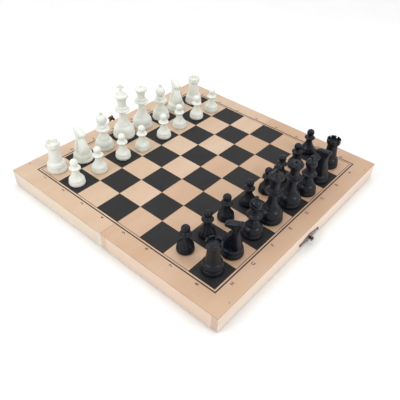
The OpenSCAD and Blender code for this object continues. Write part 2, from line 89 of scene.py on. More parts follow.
def make_camera():
    data = bpy.data.cameras.new("camera")
    data.sensor_width = SENSOR_WIDTH
    data.lens = FOCAL_SHARE * data.sensor_width
    data.shift_x, data.shift_y = CAMERA_SHIFT
    data.clip_start, data.clip_end = CAMERA_CLIP
    camera = bpy.data.objects.new("camera", data)
    turn = rotation_vector(CAMERA_TURN).transposed() @ Matrix.Diagonal((1, -1, -1))
    camera.matrix_world = Matrix.Translation(CAMERA_PLACE * MM) @ turn.to_4x4()
    bpy.context.scene.collection.objects.link(camera)
    bpy.context.scene.camera = camera


# ---- materials ----


def tone(red, green, blue):
    """A colour given as it looks on screen, 0 to 255, as the linear values that a shader takes."""
    shares = [c / 255 for c in (red, green, blue)]
    return tuple(c / 12.92 if c <= 0.04045 else ((c + 0.055) / 1.055) ** 2.4 for c in shares)


class Nodes:
    """A material's node tree, with short ways to add and join nodes."""

    def __init__(self, name, colour, roughness, **inputs):
        self.material = bpy.data.materials.new(name)
        self.material.use_nodes = True
        self.tree = self.material.node_tree
        self.shader = self.tree.nodes["Principled BSDF"]
        self.material.diffuse_color = (*colour, 1)
        self.shader.inputs["Base Color"].default_value = (*colour, 1)
        self.shader.inputs["Roughness"].default_value = roughness
        for key, value in inputs.items():
            self.shader.inputs[key.replace("_", " ")].default_value = value
        self.place = self.add("ShaderNodeTexCoord").outputs["Object"]

    def add(self, kind, **settings):
        node = self.tree.nodes.new(kind)
        for key, value in settings.items():
            setattr(node, key, value)
        return node

    def join(self, out, to):
        self.tree.links.new(out, to)

    def spaced(self, lengths, shift=0):
        """Object coordinates in which one unit is the given length along each axis, in mm."""
        node = self.add("ShaderNodeMapping")
        node.inputs["Scale"].default_value = [1 / (length * MM) for length in lengths]
        node.inputs["Location"].default_value = (shift, shift, shift)
        self.join(self.place, node.inputs["Vector"])
        return node.outputs["Vector"]

    def noise(self, lengths, detail=3, shift=0, rough=0.5, warp=0):
        node = self.add("ShaderNodeTexNoise")
        node.inputs["Scale"].default_value = 1
        node.inputs["Detail"].default_value = detail
        node.inputs["Roughness"].default_value = rough
        node.inputs["Distortion"].default_value = warp
        self.join(self.spaced(lengths, shift), node.inputs["Vector"])
        return node.outputs["Fac"]

    def span(self, value, low, high, to_low=0.0, to_high=1.0):
        """value moved from the span low to high onto to_low to to_high, and kept inside it."""
        node = self.add("ShaderNodeMapRange", clamp=True)
        ends = {"From Min": low, "From Max": high, "To Min": to_low, "To Max": to_high}
        for socket, number in ends.items():
            node.inputs[socket].default_value = number
        self.join(value, node.inputs["Value"])
        return node.outputs["Result"]

    def mix(self, share, first, second):
        """The first colour where share is 0 and the second where it is 1."""
        node = self.add("ShaderNodeMix", data_type="RGBA")
        sockets = (node.inputs[0], node.inputs[6], node.inputs[7])
        for socket, value in zip(sockets, (share, first, second)):
            if isinstance(value, tuple):
                socket.default_value = (*value, 1)
            elif isinstance(value, (int, float)):
                socket.default_value = value
            else:
                self.join(value, socket)
        return node.outputs[2]

    def maths(self, first, second, how="ADD"):
        node = self.add("ShaderNodeMath", operation=how)
        for socket, value in zip(node.inputs, (first, second)):
            if isinstance(value, (int, float)):
                socket.default_value = value
            else:
                self.join(value, socket)
        return node.outputs[0]

    def part(self, value, share):
        return self.maths(value, share, "MULTIPLY")

    def normal_part(self, axis):
        """How far the surface faces along an axis of the object, 0 to 1."""
        split = self.add("ShaderNodeSeparateXYZ")
        self.join(self.add("ShaderNodeTexCoord").outputs["Normal"], split.inputs[0])
        return self.maths(split.outputs[axis], 0, "ABSOLUTE")

    def colour(self, out):
        self.join(out, self.shader.inputs["Base Color"])

    def gloss(self, value, low, high):
        self.join(self.span(value, 0.3, 0.7, low, high), self.shader.inputs["Roughness"])

    def bump(self, height, depth):
        """Raises the surface by depth mm where height is 1."""
        node = self.add("ShaderNodeBump")
        node.inputs["Strength"].default_value = 1
        node.inputs["Distance"].default_value = depth * MM
        self.join(height, node.inputs["Height"])
        self.join(node.outputs["Normal"], self.shader.inputs["Normal"])


def plywood(name, face, warm, fleck, shift):
    """A sanded, clear-coated face veneer with its grain along X, and darker cut edges."""
    m = Nodes(name, face, 0.42, Coat_Weight=0.12, Coat_Roughness=0.3)
    cloud = m.span(m.noise((60, 34, 34), 3, shift), 0.35, 0.68)
    band = m.span(m.noise((90, 3.2, 3.2), 3, shift + 3, 0.6, 0.3), 0.38, 0.66)
    pores = m.span(m.noise((3.2, 0.42, 0.42), 2, shift + 7), 0.66, 0.78)
    specks = m.span(m.noise((2.4, 1.1, 1.1), 1, shift + 11), 0.73, 0.79)
    body = m.mix(m.part(cloud, 0.75), face, warm)
    body = m.mix(m.part(band, 0.3), body, warm)
    body = m.mix(m.part(pores, 0.3), body, fleck)
    body = m.mix(m.part(specks, 0.5), body, fleck)
    plies = m.span(m.noise((30, 30, 0.5), 1, shift + 5), 0.4, 0.6)
    edge = m.mix(plies, tuple(0.72 * c for c in warm), tuple(0.9 * c for c in face))
    m.colour(m.mix(m.span(m.normal_part(2), 0.35, 0.75), edge, body))
    m.gloss(cloud, 0.38, 0.48)
    m.bump(m.maths(band, pores, "SUBTRACT"), 0.015)
    return m.material


def rail_wood(name, pale, dark, end, axis, shift):
    """Planed softwood with its grain along one axis, and end grain on the two faces across it."""
    m = Nodes(name, pale, 0.5)
    long, fine, wide = [14, 14, 14], [1.1, 1.1, 1.1], [40, 40, 40]
    long[axis], fine[axis], wide[axis] = 240, 60, 200
    rings = m.span(m.noise(long, 2, shift, 0.5, 0.4), 0.4, 0.62)
    fibres = m.span(m.noise(fine, 2, shift + 3, 0.6), 0.35, 0.7)
    drift = m.span(m.noise(wide, 2, shift + 9), 0.35, 0.65)
    body = m.mix(m.part(rings, 0.38), pale, dark)
    body = m.mix(m.part(fibres, 0.2), body, dark)
    body = m.mix(m.part(drift, 0.25), body, tuple(min(1, 1.06 * c) for c in pale))
    cut, cut_fine = [60, 60, 60], [0.5, 0.5, 0.5]
    cut[1 - axis], cut[2] = 1.3, 26
    cut_rings = m.span(m.noise(cut, 2, shift + 5, 0.5, 0.6), 0.4, 0.6)
    cut_pores = m.span(m.noise(cut_fine, 1, shift + 6), 0.5, 0.75)
    face = m.mix(m.part(cut_rings, 0.55), end, tuple(0.82 * c for c in end))
    face = m.mix(m.part(cut_pores, 0.25), face, tuple(0.7 * c for c in end))
    m.colour(m.mix(m.span(m.normal_part(axis), 0.55, 0.8), body, face))
    m.gloss(fibres, 0.44, 0.56)
    m.bump(fibres, 0.02)
    return m.material


def print_ink():
    """Black screen ink on the veneer: satin, a little uneven, with the grain just showing."""
    m = Nodes("print_ink", tone(38, 37, 38), 0.52, Specular_IOR_Level=0.22)
    cloud = m.span(m.noise((26, 18, 18), 4, 2), 0.35, 0.65)
    grain = m.span(m.noise((14, 0.9, 0.9), 3, 5), 0.4, 0.7)
    worn = m.span(m.noise((1.6, 0.7, 0.7), 2, 8), 0.7, 0.82)
    body = m.mix(cloud, tone(34, 33, 34), tone(44, 43, 44))
    body = m.mix(m.part(grain, 0.25), body, tone(54, 52, 51))
    m.colour(m.mix(m.part(worn, 0.3), body, tone(84, 76, 70)))
    m.gloss(cloud, 0.46, 0.58)
    m.bump(grain, 0.01)
    return m.material


def plastic(name, body, deep, low, high, **inputs):
    """Injection-moulded plastic: faint flow clouds, fine mould texture and handling marks."""
    m = Nodes(name, body, low, **inputs)
    flow = m.span(m.noise((9, 9, 14), 3, 1, 0.5, 0.5), 0.35, 0.65)
    grit = m.noise((0.35, 0.35, 0.35), 2, 4)
    marks = m.span(m.noise((0.9, 0.9, 6), 3, 6), 0.55, 0.8)
    m.colour(m.mix(flow, body, deep))
    m.gloss(m.maths(m.part(flow, 0.5), m.part(marks, 0.5)), low, high)
    m.bump(grit, 0.006)
    return m.material


def metal(name, bright, stained, low, high, size, share=0.75):
    """A plated or antiqued metal: stains, fine brushing and bright spots."""
    m = Nodes(name, bright, low, Metallic=1.0)
    stain = m.span(m.noise((size, size, size), 4, 3, 0.6), 0.4, 0.62)
    brush = m.noise((0.15, 0.15, 2.5), 2, 5)
    m.colour(m.mix(m.maths(stain, share, "MULTIPLY"), bright, stained))
    m.gloss(stain, low, high)
    m.bump(brush, 0.01)
    return m.material


PLYWOOD = {
    "white": plywood("panel_white", tone(216, 190, 164), tone(206, 172, 141), tone(168, 118, 84), 0),
    "black": plywood("panel_black", tone(205, 171, 143), tone(198, 160, 127), tone(160, 108, 74), 40),
}
CREAM, CREAM_DARK = tone(242, 226, 205), tone(226, 200, 170)
PINK, PINK_DARK = tone(234, 210, 190), tone(216, 184, 158)
RAIL_TONES = {
    "white_end_rail": (CREAM, CREAM_DARK, tone(226, 210, 194), 0),
    "white_fold_rail": (CREAM, CREAM_DARK, tone(232, 220, 206), 0),
    "white_side_rail_a": (CREAM, CREAM_DARK, tone(226, 206, 182), 1),
    # The far h-side rail's pale tone is darker than on the other white-half rails: painted shade, not a
    # different wood.
    "white_side_rail_h": (tone(228, 212, 193), CREAM_DARK, tone(226, 206, 182), 1),
    "black_end_rail": (tone(238, 219, 200), PINK_DARK, tone(212, 184, 164), 0),
    "black_fold_rail": (CREAM, PINK_DARK, tone(220, 192, 164), 0),
    "black_side_rail_a": (PINK, PINK_DARK, tone(220, 192, 166), 1),
    "black_side_rail_h": (PINK, PINK_DARK, tone(220, 192, 166), 1),
}
INK = print_ink()
PLASTIC = {
    "white": plastic(
        "plastic_white", tone(240, 242, 234), tone(231, 234, 223), 0.34, 0.46,
        Subsurface_Weight=0.12, Subsurface_Scale=0.002, Subsurface_Radius=(1.0, 0.9, 0.7),
    ),
    "black": plastic(
        "plastic_black", tone(13, 18, 27), tone(20, 25, 34), 0.33, 0.44, Specular_IOR_Level=0.33,
    ),
}
BRASS = metal("hinge_brass", tone(214, 178, 104), tone(150, 112, 58), 0.25, 0.45, 2.2)
OLD_BRASS = metal("catch_brass", tone(116, 92, 62), tone(44, 33, 28), 0.28, 0.46, 1.6, 0.85)
OLD_STEEL = metal("antique_plate", tone(140, 139, 142), tone(92, 64, 56), 0.33, 0.5, 3.0, 0.5)
NAIL_STEEL = metal("nail_steel", tone(168, 160, 150), tone(96, 80, 70), 0.3, 0.5, 1.2)

# ---- making pieces ----

# edges sharper than this many degrees stay sharp, on turned, boxy and printed pieces
PIECE_SHARP = 32
BOX_SHARP = 50
PRINT_SHARP = 30


def shaped(name, bm, material, sharp=35):
    """An object from a bmesh drawn in mm, smooth-shaded but for edges sharper than an angle."""
    bmesh.ops.recalc_face_normals(bm, faces=bm.faces)
    bmesh.ops.scale(bm, vec=(MM, MM, MM), verts=bm.verts)
    mesh = bpy.data.meshes.new(name)
    bm.to_mesh(mesh)
    bm.free()
    return dressed(name, mesh, material, sharp)


def dressed(name, mesh, material, sharp=35):
    mesh.name = name
    mesh.polygons.foreach_set("use_smooth", [True] * len(mesh.polygons))
    mesh.set_sharp_from_angle(angle=math.radians(sharp))
    mesh.materials.clear()
    mesh.materials.append(material)
    piece = bpy.data.objects.new(name, mesh)
    bpy.context.scene.collection.objects.link(piece)
    return piece


def applied(piece):
    """The piece's mesh with its modifiers in it; the piece itself is removed."""
    seen = piece.evaluated_get(bpy.context.evaluated_depsgraph_get())
    mesh = bpy.data.meshes.new_from_object(seen)
    old = piece.data
    bpy.data.objects.remove(piece)
    bpy.data.meshes.remove(old)
    return mesh


def combined(first, second, operation):
    """The mesh of two closed pieces joined or cut by a boolean; both pieces are removed."""
    cut = first.modifiers.new("cut", "BOOLEAN")
    cut.solver = "EXACT"
    cut.use_self = True
    cut.operation = operation
    cut.object = second
    mesh = applied(first)
    bpy.data.objects.remove(second)
    return mesh


def belongs(piece, body, slot, *nodes):
    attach(piece, body)
    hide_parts(*nodes)


def node_span(node):
    """Lowest and highest corner of a CAD node, in mm."""
    low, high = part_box(node)
    return Vector(low) / MM, Vector(high) / MM


def add_box(bm, low, high):
    made = bmesh.ops.create_cube(bm, size=1)["verts"]
    size = Vector(high) - Vector(low)
    bmesh.ops.scale(bm, vec=size, verts=made)
    bmesh.ops.translate(bm, vec=(Vector(high) + Vector(low)) / 2, verts=made)
    return made


def round_edges(bm, edges, width, segments=3):
    bmesh.ops.bevel(
        bm, geom=edges, offset=width, segments=segments, profile=0.5, affect="EDGES", clamp_overlap=True
    )


# ---- the case ----

EDGE_ROUND = 0.35
RAIL_ROUND = 0.3
# edges of a panel that lie this near the fold stay sharp
NEAR_FOLD = 1
BRAD_ROOM = 0.03
BRAD_HEAD_DEEP = 0.4


def brad_holes(half):
    """Cylinders that clear the heads of one panel's brads."""
    low, high = node_span(f"{half}_panel_brads")
    radius = (high.y - low.y) / 2
    bm = bmesh.new()
    for x in (low.x + radius, high.x - radius):
        place = Matrix.Translation((x, (low.y + high.y) / 2, TOP_Z))
        bmesh.ops.create_cone(
            bm, cap_ends=True, segments=24, radius1=radius + BRAD_ROOM, radius2=radius + BRAD_ROOM,
            depth=2 * BRAD_HEAD_DEEP, matrix=place,
        )
    return shaped("brad_holes", bm, INK)


def make_panels():
    for half in HALVES:
        node = f"{half}_panel"
        bm = bmesh.new()
        add_box(bm, *node_span(node))
        outer = [e for e in bm.edges if any(abs(v.co.y) > FOLD_HALF_GAP + NEAR_FOLD for v in e.verts)]
        round_edges(bm, outer, EDGE_ROUND)
        panel = shaped(node + "_skin", bm, PLYWOOD[half], BOX_SHARP)
        mesh = combined(panel, brad_holes(half), "DIFFERENCE")
        skin = dressed(node + "_skin", mesh, PLYWOOD[half], BOX_SHARP)
        belongs(skin, f"{half}_half", "panel_plywood", node)


# room between the rail and the hinge, and over its leaves
HINGE_ROOM = 0.15
LEAF_ROOM = 0.02
# how low the cutters for the leaves and the barrels start, so that no two of their faces lie together
LEAF_CUT_Z = -1
BARREL_CUT_Z = -1.1
# how far apart the grain of one rail and the next is taken from the same noise
GRAIN_STEP = 13


def hinge_pockets(half):
    """Boxes that clear the hinge leaves and barrels under the fold rail of one half."""
    leaves = [node_span(f"{side}_hinge_leaves") for side in HALVES]
    pin_end = node_span("hinge_pins")[1].x
    out = HALVES[half]
    reach = max(abs(y) for span in leaves for y in (span[0].y, span[1].y))
    leaf_top = leaves[0][1].z
    barrel = AXIS_Z - leaves[0][0].z
    leaf_end = max(span[1].x for span in leaves)
    leaf_start = 2 * HINGE_X - leaf_end
    past_pin = pin_end - leaf_end + 2 * HINGE_ROOM
    barrel_reach = barrel + 2 * HINGE_ROOM
    barrel_top = AXIS_Z + barrel + 2 * HINGE_ROOM
    bm = bmesh.new()
    for side in (-1, 1):
        x0, x1 = sorted((side * leaf_start, side * leaf_end))
        y0, y1 = sorted((0, out * (reach + HINGE_ROOM)))
        add_box(bm, (x0 - HINGE_ROOM, y0, LEAF_CUT_Z), (x1 + HINGE_ROOM, y1, leaf_top + LEAF_ROOM))
        y0, y1 = sorted((0, out * barrel_reach))
        add_box(bm, (x0 - past_pin, y0, BARREL_CUT_Z), (x1 + past_pin, y1, barrel_top))
    return shaped("pockets", bm, INK)


def make_rails():
    for number, (node, (pale, dark, end, axis)) in enumerate(RAIL_TONES.items()):
        half = node.split("_")[0]
        bm = bmesh.new()
        add_box(bm, *node_span(node))
        round_edges(bm, list(bm.edges), RAIL_ROUND)
        wood = rail_wood("wood_" + node, pale, dark, end, axis, GRAIN_STEP * number)
        rail = shaped(node + "_skin", bm, wood, BOX_SHARP)
        if "fold" in node:
            mesh = combined(rail, hinge_pockets(half), "DIFFERENCE")
            rail = dressed(node + "_skin", mesh, wood, BOX_SHARP)
        belongs(rail, f"{half}_half", "rail_pine", node)


# ---- the print on the playing surface ----

# how far the ink stands up from the panel and reaches into it
INK_UP, INK_DOWN = 0.03, 0.05
# bare panel between the ink and the fold
FOLD_LAND = 0.05
# the thin line's outer edge, a little inside the field
FIELD_EDGE = FIELD_HALF - 0.3
THIN_LINE = 0.55
THICK_LINE = 1.3
THICK_LINE_MIDDLE = FIELD_HALF + 2.05
DIGIT_PLACE = FIELD_HALF + 5.4
LETTER_PLACE = FIELD_HALF + 6.9
GLYPH_SIZE = 5.0
GLYPH_WEIGHT = 0.06


def ink_box(bm, x0, x1, y0, y1):
    add_box(bm, (min(x0, x1), min(y0, y1), TOP_Z - INK_DOWN), (max(x0, x1), max(y0, y1), TOP_Z + INK_UP))


def print_squares(bm, out):
    """The dark squares of one half; those at the rim stop at the thin line's outer edge."""
    def edge(count):
        return max(-FIELD_EDGE, min(FIELD_EDGE, count * SQUARE))

    for rank in range(4):
        for file in range(8):
            real_rank = 4 + rank if out > 0 else 3 - rank
            if (real_rank + file) % 2:
                continue
            y0 = max(rank * SQUARE, FOLD_HALF_GAP + FOLD_LAND)
            ink_box(bm, edge(file - 4), edge(file - 3), out * y0, out * edge(rank + 1))


def print_frame(bm, out, outer, width):
    """Half of a printed frame: two sides from the fold to the end, and the end line."""
    inner = outer - width
    start = out * (FOLD_HALF_GAP + FOLD_LAND)
    for side in (-1, 1):
        ink_box(bm, side * inner, side * outer, start, out * outer)
    ink_box(bm, -inner, inner, out * inner, out * outer)


def glyph(character, x, y, turn):
    data = bpy.data.curves.new("glyph", "FONT")
    data.body = character
    data.size = GLYPH_SIZE
    data.align_x, data.align_y = "CENTER", "CENTER"
    data.extrude = (INK_UP + INK_DOWN) / 2
    data.offset = GLYPH_WEIGHT
    data.resolution_u = 6
    item = bpy.data.objects.new("glyph", data)
    bpy.context.scene.collection.objects.link(item)
    mesh = bpy.data.meshes.new_from_object(item.evaluated_get(bpy.context.evaluated_depsgraph_get()))
    z = TOP_Z + (INK_UP - INK_DOWN) / 2
    mesh.transform(Matrix.Translation((x, y, z)) @ Matrix.Rotation(turn, 4, "Z"))
    bpy.data.objects.remove(item)
    bpy.data.curves.remove(data)
    return mesh


def print_coordinates(bm, out):
    """Letters at the end and digits down both sides, each side's upright to the player on its left."""
    for file, letter in enumerate(FILES):
        turn = math.pi if out > 0 else 0
        bm.from_mesh(glyph(letter, (file - 3.5) * SQUARE, out * LETTER_PLACE, turn))
    for rank in range(4):
        real_rank = 4 + rank if out > 0 else 3 - rank
        for side in (-1, 1):
            turn = math.pi if side > 0 else 0
            y = out * (rank + 0.5) * SQUARE
            bm.from_mesh(glyph(str(real_rank + 1), side * DIGIT_PLACE, y, turn))


def make_print():
    for half, out in HALVES.items():
        bm = bmesh.new()
        print_squares(bm, out)
        print_frame(bm, out, FIELD_EDGE, THIN_LINE)
        print_frame(bm, out, THICK_LINE_MIDDLE + THICK_LINE / 2, THICK_LINE)
        print_coordinates(bm, out)
        piece = shaped(f"{half}_print", bm, INK, PRINT_SHARP)
        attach(piece, f"{half}_half")


# ---- outlines of the turned pieces, as (radius, height) ----


def oval(r, z, wide, tall, start, end, steps=22):
    angles = np.radians(np.linspace(start, end, steps + 1))
    return [(r + wide * math.cos(a), z + tall * math.sin(a)) for a in angles]


def arc(r, z, radius, start, end, steps=10):
    return oval(r, z, radius, radius, start, end, steps)


def bend(a, b, c, d, steps=14):
    """A smooth curve from a to d, which leaves a towards b and comes to d from c."""
    made = []
    for t in np.linspace(0, 1, steps + 1):
        s = 1 - t
        shares = (s * s * s, 3 * s * s * t, 3 * s * t * t, t * t * t)
        made.append(tuple(sum(w * p[i] for w, p in zip(shares, (a, b, c, d))) for i in (0, 1)))
    return made


def foot(r, height):
    """The bulging foot that all the pieces have, up to the step above it."""
    bulge = bend((r - 0.8, 0.1), (r + 0.26, 0.8), (r + 0.26, height - 2.3), (r - 0.8, height - 0.2))
    step = [(r - 1.15, height - 0.05), (r - 1.1, height + 0.3), (r - 0.55, height + 0.75)]
    return [(r - 1, 0)] + bulge + step


def collar(neck, r, z):
    """The round-edged disc under the head of a king or queen."""
    rim = arc(r - 1, z + 1.9, 1, -60, 60)
    return [(neck + 0.4, z), (r - 1.4, z + 0.9)] + rim + [(r - 2.2, z + 3.1), (r - 2.8, z + 3.5)]


def hollow(bottom, top, height):
    """The cavity under a piece, from its crown down to the rim that the piece stands on."""
    return [(0, height), (top * 0.75, height - 0.1), (top, height - 0.8), (bottom, 0.3), (bottom + 0.2, 0)]


# how far each corner of an outline is cut back, and the most of a side that this may take
CORNER_CUT = 0.22
CORNER_SHARE = 0.3


def softened(points):
    """The outline with each corner cut back a little on both sides, as a mould leaves it."""
    made = [points[0]]
    for before, here, after in zip(points, points[1:], points[2:]):
        here_v = Vector(here)
        for other in (before, after):
            step = Vector(other) - here_v
            made.append(tuple(here_v + step * min(CORNER_SHARE, CORNER_CUT / max(step.length, TINY))))
    return made + [points[-1]]


SEGMENTS = 72
SEAM_HALF_ANGLE = math.radians(1.1)
SEAM_RISE = 0.035


def turned(points, shape=None, segments=SEGMENTS):
    """A bmesh of the outline turned round Z, with the fine parting seam of its mould on two sides.
    shape moves each point: it takes and gives radius, height and angle."""
    angles = [2 * math.pi * i / segments for i in range(segments)]
    for seam in (0, math.pi):
        angles += [seam + s * SEAM_HALF_ANGLE for s in (-1, 1)]
    angles = sorted(a % (2 * math.pi) for a in angles)
    bm = bmesh.new()
    columns = []
    for angle in angles:
        on_seam = min(abs(angle), abs(angle - math.pi)) < TINY
        column = []
        for r, z in points:
            if shape:
                r, z = shape(r, z, angle)
            rise = SEAM_RISE if on_seam and r > 1 else 0
            if r < TINY:
                column.append(None)
            else:
                place = ((r + rise) * math.cos(angle), (r + rise) * math.sin(angle), z)
                column.append(bm.verts.new(place))
        columns.append(column)
    poles = {i: bm.verts.new((0, 0, points[i][1])) for i in (0, len(points) - 1)}
    for one, two in zip(columns, columns[1:] + columns[:1]):
        for i in range(len(points) - 1):
            ring = [one[i] or poles[i], one[i + 1] or poles[i + 1], two[i + 1], two[i]]
            bm.faces.new(list(dict.fromkeys(v for v in ring if v is not None)))
    return bm


def pawn():
    outline = hollow(6.2, 1.2, 13) + foot(8.8, 5.3)
    outline += bend((8.25, 6.1), (8, 8.5), (4.4, 9.5), (3.2, 17.6))
    outline += [(3.4, 18.4), (5.3, 19.1)] + arc(5.1, 20.3, 1, -60, 60) + [(4.1, 21.9), (3, 22.5)]
    return turned(softened(outline) + arc(0, 26.7, 4.3, -56, 90, 20))


ROOK_NOTCHES = 6
ROOK_NOTCH = 1.9
ROOK_NOTCH_LOW = (3, -ROOK_NOTCH / 2, 32.6)
ROOK_NOTCH_HIGH = (9, ROOK_NOTCH / 2, 40)
# radians that keep the sides of the notches off the seam
OFF_SEAM = 0.01


def rook():
    outline = hollow(7.8, 2.4, 27) + foot(10.8, 5.4)
    outline += bend((10.25, 6.1), (10.1, 8.3), (9.6, 10.6), (7.9, 11.9)) + [(7.4, 12.1), (7.3, 12.7)]
    outline += bend((7.2, 13.2), (6.5, 17), (6, 22), (5.7, 28))
    outline += bend((5.8, 28.5), (6.2, 29.4), (7.6, 29.4), (7.75, 30.9))
    outline += [(7.75, 35.5), (5.9, 35.5), (5.9, 31.8), (5.6, 31.5), (0, 31.5)]
    body = shaped("rook_body", turned(softened(outline)), INK)
    bm = bmesh.new()
    for turn in range(ROOK_NOTCHES):
        made = add_box(bm, ROOK_NOTCH_LOW, ROOK_NOTCH_HIGH)
        spin = Matrix.Rotation(turn * 2 * math.pi / ROOK_NOTCHES + OFF_SEAM, 3, "Z")
        bmesh.ops.rotate(bm, verts=made, matrix=spin)
    return combined(body, shaped("notches", bm, INK), "DIFFERENCE")


# the cut in the bishop's head: half its length, its depth and half its width, then its tilt and place
SLOT_REACH, SLOT_DEEP, SLOT_HALF = 8, 9, 0.6
SLOT_TILT = math.radians(32)
SLOT_PLACE = (0, 1, 37.4)


def bishop():
    outline = hollow(7.8, 1.4, 19) + foot(11, 4.9)
    outline += bend((10.4, 5.7), (10.2, 8.4), (9.2, 10.4), (7.3, 11.9)) + [(6.9, 12.2), (6.9, 12.9)]
    outline += bend((6.9, 13.4), (6.1, 15.4), (3.9, 17), (3.6, 22.8)) + [(4.2, 23), (6.9, 23.6)]
    outline += arc(7.1, 24.7, 1, -60, 60) + [(6.3, 26.2), (5.2, 27.4)] + arc(4.7, 28.5, 0.95, -60, 70)
    outline = softened(outline + [(3.6, 29.9), (2.9, 30.5)]) + oval(0, 36.6, 6.1, 6.4, -62, 74)
    outline += [(1.3, 43.3)] + oval(0, 45.2, 2.1, 1.8, -50, 90)
    body = shaped("bishop_body", turned(outline), INK)
    bm = bmesh.new()
    slot = add_box(bm, (-SLOT_REACH, 0, -SLOT_HALF), (SLOT_REACH, SLOT_DEEP, SLOT_HALF))
    bmesh.ops.rotate(bm, verts=slot, matrix=Matrix.Rotation(SLOT_TILT, 3, "X"))
    bmesh.ops.translate(bm, verts=slot, vec=SLOT_PLACE)
    return combined(body, shaped("slot", bm, INK), "DIFFERENCE")


QUEEN_SCALLOPS = 10
QUEEN_SEGMENTS = 80
# the radius and height where the scallops start, and how far on from each they reach full depth
SCALLOP_RADIUS, SCALLOP_RADIUS_FADE = 6.1, 0.8
SCALLOP_Z, SCALLOP_Z_FADE = 49.2, 1.6


def fade(value, start, length):
    return max(0, min(1, (value - start) / length))


def queen():
    outline = hollow(8.8, 1.8, 23) + foot(12.5, 5.3)
    outline += bend((11.9, 6.1), (11.8, 9.4), (10.4, 12.2), (8.2, 13.8)) + [(7.6, 14.1), (7.5, 14.9)]
    outline += bend((7.4, 15.4), (6, 17.4), (4.2, 19.8), (3.9, 31.2)) + collar(4.4, 8.8, 32.1)
    outline += [(5.8, 35.8)] + arc(5.5, 36.8, 0.9, -60, 60) + [(4.7, 38.2)]
    outline += bend((4.6, 38.8), (4.7, 43), (5.2, 46), (6.2, 47.4))
    outline += bend((6.8, 47.6), (7.8, 48.4), (7.9, 49.4), (7.6, 50.8))
    outline += [(7.3, 51), (6.9, 51), (6.5, 50.6), (6.2, 50.2)]
    outline = softened(outline) + bend((5.6, 50), (4.6, 51.6), (2.6, 52.2), (1.2, 52.2))

    def scallop(r, z, angle):
        dip = math.cos(QUEEN_SCALLOPS / 2 * angle) ** 4
        near_rim = fade(r, SCALLOP_RADIUS, SCALLOP_RADIUS_FADE) * fade(z, SCALLOP_Z, SCALLOP_Z_FADE)
        return r, z - dip * near_rim

    return turned(outline + arc(0, 53, 1.4, -35, 90), scallop, QUEEN_SEGMENTS)


CROSS_Z = 58.8
CROSS_WIDE, CROSS_TALL, CROSS_THICK = 7.4, 7.7, 2
# how far the cross reaches down into the king's head
CROSS_SUNK = 1
CROSS_ROUND = 0.22


def king():
    outline = hollow(9.4, 1.8, 24) + foot(13.2, 5.6)
    outline += bend((12.6, 6.4), (12.5, 9.8), (11.2, 12.9), (8.6, 14.7)) + [(8, 15), (7.9, 15.9)]
    outline += bend((7.8, 16.4), (6.2, 18.6), (4.4, 21.2), (4.1, 32.6)) + collar(4.5, 9, 33.2)
    outline += [(6.1, 37)] + arc(5.8, 38, 0.9, -60, 60) + [(5, 39.3)]
    outline += bend((4.8, 39.8), (4.8, 44.5), (5.4, 47.8), (6.8, 50.6))
    outline += bend((7.5, 50.8), (8.2, 51.6), (8.2, 52.8), (7.6, 53.8))
    outline += [(6.9, 54.2), (5.9, 54.3), (5.7, 54.9), (4.4, 55.6), (3.9, 56.5)]
    outline += bend((3.6, 57), (2.8, 57.8), (2.2, 58.2), (1.8, 58.5))
    body = shaped("king_body", turned(softened(outline + [(1.7, CROSS_Z), (0, CROSS_Z)])), INK)
    return combined(body, shaped("cross", cross(), INK), "UNION")


def cross():
    """The king's cross: flared arms, drawn in X and Z and thickened along Y."""
    root, tip, middle = CROSS_WIDE * 0.2, CROSS_WIDE * 0.21, CROSS_TALL * 0.6
    waist = root * 2 / 3
    half = [
        (root, -CROSS_SUNK), (waist, middle - waist), (CROSS_WIDE / 2, middle - tip),
        (CROSS_WIDE / 2, middle + tip), (waist, middle + waist), (tip, CROSS_TALL),
    ]
    points = half + [(-x, z) for x, z in reversed(half)]
    bm = bmesh.new()
    face = bm.faces.new([bm.verts.new((x, -CROSS_THICK / 2, CROSS_Z + z)) for x, z in points])
    grown = bmesh.ops.extrude_face_region(bm, geom=[face])["geom"]
    moved = [v for v in grown if isinstance(v, bmesh.types.BMVert)]
    bmesh.ops.translate(bm, verts=moved, vec=(0, CROSS_THICK, 0))
    round_edges(bm, list(bm.edges), CROSS_ROUND, 2)
    return bm


# ---- the knight's head, as a relief that is the same on both sides ----

# side view as (y, z), with the muzzle at +y, from the chest's root round the back to the throat
HORSE = [
    (-7.4, 8.2), (-8.4, 11), (-8.5, 14.4), (-7.7, 19), (-6.5, 23.4), (-6, 27.4), (-6.5, 31.4), (-7.9, 35),
    (-8.8, 37.6), (-8, 39.3), (-5.9, 40), (-4, 39.3), (0, 38.6), (4, 37.8), (7.2, 36.7),
    (8.9, 34.9), (8.7, 32.9), (7.2, 31.8), (4.6, 31.6), (2.4, 30.8), (1.4, 29), (2.6, 26.6),
    (5.6, 23), (8, 19), (9.1, 15.2), (9, 11.6), (8, 8.2),
]
# half width of the body over the height
HORSE_WIDTHS = [(8, 6), (13, 6), (19, 5), (25, 4.3), (31, 3.6), (36, 3.4), (40.2, 3.2)]
# how far in from the side view's edge the surface turns flat, over the height
HORSE_ROUNDS = [(20, 2.6), (30, 1.3), (40, 1.1)]
THINNEST = 0.3
# length of the steps along the outline
LOOP_STEP = 0.4
# how far inside the outline the rings of points lie, and the share of that which a kept point has
RINGS = (0.12, 0.35, 0.7, 1.15)
RING_SHARE = 0.92
# the grid of points inside the rings: its pitch, its rows' share of the pitch, its start and its ends
GRID = 0.55
GRID_ROW = 0.87
GRID_INSET = 1.5
GRID_Y, GRID_Z = (-10, 10), (8, 41)
# points nearer the outline than this lie on it
ON_OUTLINE = 0.01
# depth below the rim of the sunken plane, how wide its slope is and where it ends at the top
SUNKEN, SUNKEN_SLOPE, SUNKEN_TOP = 1.5, 1.1, 29


